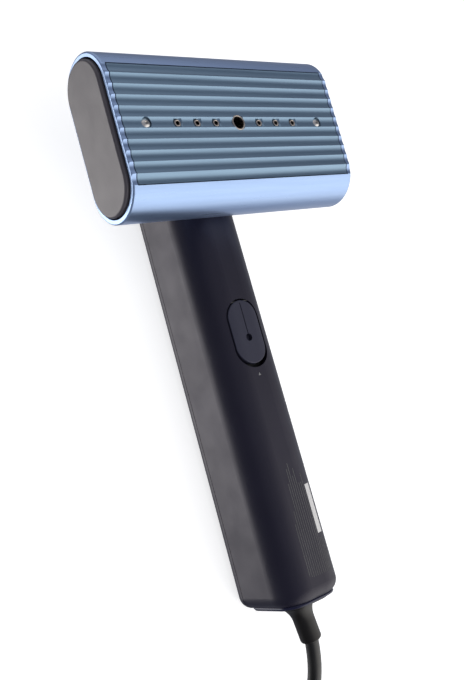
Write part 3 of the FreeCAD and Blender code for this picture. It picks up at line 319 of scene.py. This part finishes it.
# In these three tables: darkest and lightest colour, least and most roughness.
PAINTED_METALS = {
    "head_blue": ((0.28, 0.395, 0.62), (0.33, 0.45, 0.69), 0.27, 0.35),
    "plate_blue": ((0.175, 0.265, 0.365), (0.22, 0.32, 0.43), 0.30, 0.40),
}
PLASTICS = {
    "cap_charcoal": ((0.046, 0.042, 0.050), (0.060, 0.055, 0.064), 0.30, 0.37),
    "handle_navy": ((0.0040, 0.0036, 0.0110), (0.0056, 0.0050, 0.0145), 0.39, 0.47),
    "door_navy": ((0.019, 0.020, 0.036), (0.025, 0.026, 0.045), 0.48, 0.58),
    "trim_navy": ((0.006, 0.006, 0.022), (0.008, 0.008, 0.030), 0.16, 0.24),
    "base_black": (grey(0.006), grey(0.010), 0.3, 0.42),
    "trigger_grey": (grey(0.03), (0.040, 0.042, 0.05), 0.5, 0.6),
    "white_plastic": ((0.70, 0.70, 0.67), (0.77, 0.77, 0.74), 0.4, 0.5),
    "tank_clear": ((0.50, 0.56, 0.62), (0.58, 0.64, 0.70), 0.2, 0.3),
    "silicone_red": ((0.30, 0.05, 0.04), (0.36, 0.07, 0.05), 0.5, 0.6),
    "silicone_grey": (grey(0.10), grey(0.13), 0.5, 0.62),
    "board_green": ((0.01, 0.07, 0.03), (0.015, 0.10, 0.045), 0.3, 0.5),
    "switch_black": (grey(0.012), grey(0.018), 0.4, 0.5),
    "lens_clear": ((0.6, 0.68, 0.74), (0.68, 0.75, 0.8), 0.08, 0.15),
    "boot_rubber": ((0.0045, 0.0036, 0.0034), (0.007, 0.006, 0.0055), 0.34, 0.46),
    "cord_rubber": (grey(0.008), grey(0.012), 0.34, 0.46),
    "tie_fabric": (grey(0.012), grey(0.03), 0.8, 0.9),
    "plug_black": (grey(0.010), grey(0.015), 0.35, 0.48),
    "label_white": ((0.55, 0.54, 0.54), (0.62, 0.61, 0.60), 0.5, 0.6),
    "print_grey": (grey(0.06), grey(0.09), 0.6, 0.7),
    "print_pale": (grey(0.18), grey(0.24), 0.5, 0.6),
}
BARE_METALS = {
    "nozzle_bronze": ((0.40, 0.35, 0.31), (0.56, 0.50, 0.46), 0.22, 0.34),
    "screw_steel": ((0.50, 0.48, 0.46), (0.66, 0.64, 0.62), 0.16, 0.28),
    "cast_aluminium": (grey(0.5), grey(0.62), 0.45, 0.6),
    "sheet_steel": (grey(0.48), grey(0.6), 0.25, 0.4),
    "pin_brass": ((0.62, 0.60, 0.56), (0.74, 0.72, 0.68), 0.15, 0.28),
}
# What sets a material apart from the others of its kind.
OWN_TRAITS = {
    "cap_charcoal": {"tint": (1.0, 0.96, 1.0)},
    "handle_navy": {"tint": (0.92, 0.88, 1.0)},
    "door_navy": {"tint": (0.92, 0.9, 1.0)},
    "trim_navy": {"tint": (0.8, 0.82, 1.0)},
    "boot_rubber": {"grain": 1800, "specular": 0.35},
    "cord_rubber": {"grain": 1800},
    "tie_fabric": {"grain": 900, "strength": 0.8},
    "label_white": {"grain": 3500},
    "cast_aluminium": {"scale": 900},
    "sheet_steel": {"streak": (1, 30, 30)},
    "pin_brass": {"streak": (1, 8, 8)},
}


def make_materials():
    """Every material by its name."""
    made = {}
    kinds = ((painted_metal, PAINTED_METALS), (moulded_plastic, PLASTICS), (bare_metal, BARE_METALS))
    for kind, table in kinds:
        for name, looks in table.items():
            made[name] = kind(name, *looks, **OWN_TRAITS.get(name, {}))
    return made


# ---------------------------------------------------------------- cord

CORD_DIAMETER = 7.0 * MM
CORD_SMOOTHNESS = 6
PLUG_INSIDE = Vector((-4.0, 0.0, 0.0))
CORD_ROUTE = [
    (3.9, -150.4, 22.9),
    (5.9, -164.6, 18.8),
    (4.2, -185.0, 7.7),
    (1.5, -206.0, 3.7),
    (0.5, -226.0, 4.3),
]
COIL_MIDDLE = Vector((-41.5, -226.0, 0.0))
COIL_RADII = (42.0, 35.0)
COIL_FLOOR = 4.3
COIL_LAYER = 7.0
COIL_TURNS = 7
POINTS_PER_TURN = 18
STEP = 360 / POINTS_PER_TURN
SHIFT_FROM = 0.72
CLIMB_FROM = 5
TAIL_MIDDLE = Vector((5.5, 2.0, 0.0))
TAIL_RADIUS = 29.2
TAIL_STEPS = 6
TAIL_END = -90


def lerp(low, high, share):
    return low + (high - low) * share


def smooth(share):
    """Rises from 0 to 1 with no kink at either end."""
    share = min(max(share, 0.0), 1.0)
    return share * share * (3 - 2 * share)


def coil_slot(turn):
    """Radius and height of one turn of the coil."""
    layer = turn // 2
    across = turn % 2 if layer % 2 == 0 else 1 - turn % 2
    return COIL_RADII[across], COIL_FLOOR + COIL_LAYER * layer


def around(middle, radius, degrees, height):
    angle = math.radians(degrees)
    return middle + Vector((math.cos(angle) * radius, math.sin(angle) * radius, height))


def coil_points(top):
    """Turns wound clockwise in layers of two, then a wider bend that climbs to the plug on the coil."""
    points = []
    steps = COIL_TURNS * POINTS_PER_TURN - 1
    climb = CLIMB_FROM + TAIL_STEPS
    for step in range(1, steps + 1):
        turns, part = divmod(step / POINTS_PER_TURN, 1)
        turn = int(turns)
        shift = max(0.0, (part - SHIFT_FROM) / (1 - SHIFT_FROM))
        radius, height = coil_slot(turn)
        if turn < COIL_TURNS - 1:
            next_radius, next_height = coil_slot(turn + 1)
            radius = lerp(radius, next_radius, shift)
            height = lerp(height, next_height, shift)
        rise = smooth((step - steps + CLIMB_FROM) / climb)
        points.append(around(COIL_MIDDLE, radius, -step * STEP, lerp(height, top, rise)))
    start = -steps * STEP % 360
    last_height = coil_slot(COIL_TURNS - 1)[1]
    for step in range(1, TAIL_STEPS + 1):
        rise = smooth((step + CLIMB_FROM) / climb)
        angle = lerp(start, TAIL_END, step / TAIL_STEPS)
        points.append(around(COIL_MIDDLE + TAIL_MIDDLE, TAIL_RADIUS, angle, lerp(last_height, top, rise)))
    return points


def make_cord(materials):
    """The cord from the strain relief to inside the plug, in place of the CAD's tube and coil."""
    data = bpy.data.curves.new("power_cord_curve", "CURVE")
    data.dimensions = "3D"
    line = data.splines.new("NURBS")
    low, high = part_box("plug_body")
    entry = Vector((high[0], (low[1] + high[1]) / 2, (low[2] + high[2]) / 2)) / MM
    points = [Vector(point) for point in CORD_ROUTE] + coil_points(entry.z) + [entry + PLUG_INSIDE]
    line.points.add(len(points) - 1)
    for slot, point in zip(line.points, points):
        slot.co = (*(point * MM), 1.0)
    line.order_u = 3
    line.use_endpoint_u = True
    line.resolution_u = CORD_SMOOTHNESS
    data.bevel_depth = CORD_DIAMETER / 2
    data.bevel_resolution = CORD_SMOOTHNESS
    data.use_fill_caps = True
    cord = bpy.data.objects.new("mains_cord", data)
    bpy.context.scene.collection.objects.link(cord)
    data.materials.append(materials["cord_rubber"])
    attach(cord, "handle")
    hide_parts("power_cord", "cord_coil")
    return cord


# ---------------------------------------------------------------- detail pieces

HANDLE_TOP = 119.0
HANDLE_FOOT = -128.9
HANDLE_WIDTH = (36.8, 38.6)
HANDLE_DEPTH = (43.0, 44.8)
FRONT_ROUND = 14.5
SHARP_FROM = math.radians(40)
PATCH_COLUMN = 0.5
PATCH_ROW = 8


def make_piece(name, build, material, body):
    """A mesh object made by a bmesh function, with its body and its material."""
    mesh = bpy.data.meshes.new(name)
    shape = bmesh.new()
    build(shape)
    bmesh.ops.recalc_face_normals(shape, faces=shape.faces)
    shape.to_mesh(mesh)
    shape.free()
    for face in mesh.polygons:
        face.use_smooth = True
    mesh.set_sharp_from_angle(angle=SHARP_FROM)
    item = bpy.data.objects.new(name, mesh)
    bpy.context.scene.collection.objects.link(item)
    mesh.materials.append(material)
    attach(item, body)
    return item


def skin(shape, rings, closed=False):
    """Joins rings of points into one closed skin, with flat ends unless the rings close on themselves."""
    rows = [[shape.verts.new(point * MM) for point in ring] for ring in rings]
    count = len(rows[0])
    following_rows = rows[1:] + rows[:1] if closed else rows[1:]
    for before, after in zip(rows, following_rows):
        for index in range(count):
            following = (index + 1) % count
            shape.faces.new((before[index], before[following], after[following], after[index]))
    if not closed:
        shape.faces.new(rows[0])
        shape.faces.new(rows[-1])


def front_point(across, along, lift):
    """A point on the handle's front, by its distance round the front from the middle line."""
    share = (HANDLE_TOP - along) / (HANDLE_TOP - HANDLE_FOOT)
    flat = lerp(*HANDLE_WIDTH, share) / 2 - FRONT_ROUND
    depth = lerp(*HANDLE_DEPTH, share)
    side = math.copysign(1, across)
    turn = max(0.0, abs(across) - flat) / FRONT_ROUND
    reach = min(abs(across), flat) + (FRONT_ROUND + lift) * math.sin(turn)
    return Vector((side * reach, along, depth - FRONT_ROUND + (FRONT_ROUND + lift) * math.cos(turn)))


def front_patch(shape, left, right, low, high, lift=0.05, sink=-0.3):
    """A thin plate that follows the handle's front."""
    columns = max(2, math.ceil((right - left) / PATCH_COLUMN) + 1)
    rows = max(2, math.ceil((high - low) / PATCH_ROW) + 1)
    rings = []
    for row in range(rows):
        along = lerp(low, high, row / (rows - 1))
        places = [lerp(left, right, column / (columns - 1)) for column in range(columns)]
        rings.append([front_point(place, along, lift) for place in places]
                     + [front_point(place, along, sink) for place in reversed(places)])
    skin(shape, rings)


STICKER = (8.5, 12.7, -99.8, -75.8)
PRINT_FIRST = -4.2
PRINT_GAP = 1.3
PRINT_WIDTH = 0.34
PRINT_LIFT = 0.03
PRINT_ENDS = [
    # low and high end of each line
    (-117.0, -92.0), (-117.5, -86.0), (-118.0, -73.0), (-118.0, -66.0), (-118.0, -63.5), (-118.0, -70.0),
    (-118.0, -66.5), (-118.0, -74.0), (-118.0, -74.0), (-118.0, -70.0), (-118.0, -102.0),
    (-118.0, -102.0), (-118.0, -103.0), (-118.0, -104.0),
]
ARROW_CORNERS = ((-0.75, -19.4), (0.75, -19.4), (0.0, -18.0))
ARROW_LIFT = 0.04
ARROW_DEPTH = Vector((0, 0, 0.3))


def build_print(shape):
    """Plain hairlines side by side, in place of small print."""
    for index, (low, high) in enumerate(PRINT_ENDS):
        place = PRINT_FIRST + PRINT_GAP * index
        front_patch(shape, place - PRINT_WIDTH / 2, place + PRINT_WIDTH / 2, low, high, lift=PRINT_LIFT)


def build_arrow(shape):
    """A small triangle that points at the door."""
    corners = [front_point(across, along, ARROW_LIFT) for across, along in ARROW_CORNERS]
    skin(shape, [corners, [corner - ARROW_DEPTH for corner in corners]])


def build_sticker(shape):
    """A blank pale label."""
    front_patch(shape, *STICKER)


def make_prints(materials):
    make_piece("blank_label", build_sticker, materials["label_white"], "handle")
    make_piece("print_lines", build_print, materials["print_grey"], "handle")
    make_piece("door_arrow", build_arrow, materials["print_pale"], "handle")


def rounded_loop(half_wide, half_tall, corner, steps=8):
    """Points and outward directions round a rectangle with rounded corners."""
    made = []
    for quarter in range(4):
        right = 1 if quarter in (0, 3) else -1
        up = 1 if quarter in (0, 1) else -1
        for step in range(steps + 1):
            angle = (quarter + step / steps) * math.pi / 2
            way = Vector((math.cos(angle), math.sin(angle)))
            middle = Vector((right * (half_wide - corner), up * (half_tall - corner)))
            made.append((middle + way * corner, way))
    return made


TRIM_INSET = 4.2
TRIM_RADIUS = 0.9
TRIM_CORNER = 9.5
TRIM_PROUD = 0.15
TRIM_SIDES = 12


def build_foot_trim(shape):
    """A slim bead round the handle's foot, between its rounding and the base cap."""
    half_wide = HANDLE_WIDTH[1] / 2 - TRIM_INSET
    half_tall = HANDLE_DEPTH[1] / 2 - TRIM_INSET
    middle = Vector((0, HANDLE_FOOT + TRIM_PROUD, HANDLE_DEPTH[1] / 2))
    rings = []
    for place, way in rounded_loop(half_wide, half_tall, TRIM_CORNER):
        ring = []
        for step in range(TRIM_SIDES):
            angle = step / TRIM_SIDES * math.tau
            out = way * math.cos(angle) * TRIM_RADIUS
            ring.append(middle + Vector((place.x + out.x, math.sin(angle) * TRIM_RADIUS, place.y + out.y)))
        rings.append(ring)
    skin(shape, rings, closed=True)


TIE_THICK = 0.9
TIE_CORNER = 4.0


def build_tie(shape):
    """Fabric strap round one side of the coil."""
    low, high = (corner / MM for corner in map(Vector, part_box("cord_tie")))
    middle = (low + high) / 2
    half = (high - low) / 2
    rings = []
    for place, way in rounded_loop(half.x, half.z, TIE_CORNER):
        ring = []
        for depth, side in ((0, -1), (0, 1), (-TIE_THICK, 1), (-TIE_THICK, -1)):
            at = place + way * depth
            ring.append(middle + Vector((at.x, side * half.y, at.y)))
        rings.append(ring)
    skin(shape, rings, closed=True)


PLUG_SIDES = 40
PLUG_SECTIONS = [
    # share of the length from the pins' face, half width, half thickness, corner power
    (0.0, 12.4, 6.2, 4.5), (0.02, 12.9, 6.7, 4.5), (0.10, 13.0, 6.8, 4.5), (0.26, 12.6, 6.7, 4.2),
    (0.38, 11.4, 6.5, 3.8), (0.50, 9.6, 6.2, 3.4), (0.60, 8.0, 5.9, 3.0), (0.70, 6.7, 5.6, 2.6),
    (0.76, 5.6, 5.2, 2.2), (0.78, 4.7, 4.7, 2.0), (0.80, 4.7, 4.7, 2.0), (0.82, 5.3, 5.2, 2.0),
    (0.855, 5.2, 5.1, 2.0), (0.87, 4.4, 4.4, 2.0), (0.89, 4.4, 4.4, 2.0), (0.905, 4.9, 4.9, 2.0),
    (0.94, 4.8, 4.8, 2.0), (0.955, 4.1, 4.1, 2.0), (0.97, 4.1, 4.1, 2.0), (0.98, 4.5, 4.5, 2.0),
    (1.0, 4.3, 4.3, 2.0),
]


def build_plug(shape):
    """Plug with a waisted grip and a ribbed neck for the cord."""
    low, high = (corner / MM for corner in map(Vector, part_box("plug_body")))
    middle = (low + high) / 2
    rings = []
    for share, half_wide, half_thick, power in PLUG_SECTIONS:
        ring = []
        for step in range(PLUG_SIDES):
            angle = step / PLUG_SIDES * math.tau
            wide = math.copysign(abs(math.cos(angle)) ** (2 / power), math.cos(angle)) * half_wide
            thick = math.copysign(abs(math.sin(angle)) ** (2 / power), math.sin(angle)) * half_thick
            ring.append(Vector((lerp(low.x, high.x, share), middle.y + wide, middle.z + thick)))
        rings.append(ring)
    skin(shape, rings)


SPRING_ALONG = 38.0
SPRING_RADIUS = 4.2
SPRING_WIRE = 0.3
SPRING_ENDS = (4.34, 10.26)
SPRING_TURNS = 3.7
SPRING_STEPS = 96
WIRE_SIDES = 8


def build_spring(shape):
    """The thumb button's wire spring."""
    rings = []
    for step in range(SPRING_STEPS + 1):
        share = step / SPRING_STEPS
        angle = share * SPRING_TURNS * math.tau
        way = Vector((math.cos(angle), math.sin(angle), 0))
        middle = Vector((0, SPRING_ALONG, lerp(*SPRING_ENDS, share)))
        ring = []
        for side in range(WIRE_SIDES):
            about = side / WIRE_SIDES * math.tau
            out = way * (SPRING_RADIUS + SPRING_WIRE * math.cos(about))
            ring.append(middle + out + Vector((0, 0, SPRING_WIRE * math.sin(about))))
        rings.append(ring)
    skin(shape, rings)


RIB_COUNT = 7
RIB_FIRST = 27.5
RIB_GAP = 3.5
RIB_REACH = 3.6
RIB_HALF = 0.42
RIB_HEIGHT = 0.82
RIB_STEPS = 8
RIB_BLUNT = 0.06


def build_trigger_ribs(shape):
    """Fine grip ribs across the thumb button, each thinner towards its ends."""
    for index in range(RIB_COUNT):
        along = RIB_FIRST + RIB_GAP * index
        rings = []
        for step in range(RIB_STEPS + 1):
            share = step / RIB_STEPS
            across = lerp(-RIB_REACH, RIB_REACH, share)
            half = RIB_HALF * math.sin(math.pi * min(max(share, RIB_BLUNT), 1 - RIB_BLUNT)) ** 0.5
            turns = [side / WIRE_SIDES * math.tau for side in range(WIRE_SIDES)]
            rings.append([Vector((across, along + half * math.cos(turn), RIB_HEIGHT + half * math.sin(turn)))
                          for turn in turns])
        skin(shape, rings)


def make_details(materials):
    """The trim, tie, plug, spring and ribs, some of them in place of plain CAD pieces."""
    make_prints(materials)
    make_piece("foot_trim", build_foot_trim, materials["trim_navy"], "handle")
    tie = make_piece("coil_tie", build_tie, materials["tie_fabric"], "handle")
    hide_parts("cord_tie")
    plug = make_piece("mains_plug", build_plug, materials["plug_black"], "handle")
    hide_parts("plug_body")
    spring = make_piece("thumb_spring", build_spring, materials["screw_steel"], "handle")
    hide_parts("trigger_spring")
    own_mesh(spring)
    make_piece("thumb_ribs", build_trigger_ribs, materials["trigger_grey"], "trigger")


# ---------------------------------------------------------------- the whole scene

make_camera()
make_studio()
materials = make_materials()
slot_of = {part["node"]: part["material_slot"] for part in frame["record"]["subparts"]}
for name in nodes:
    dress(name, materials[slot_of[name]])
for name in ("filler_neck", "door_seal", "door_pin"):
    dress(name, materials["switch_black"])
cord = make_cord(materials)
make_details(materials)
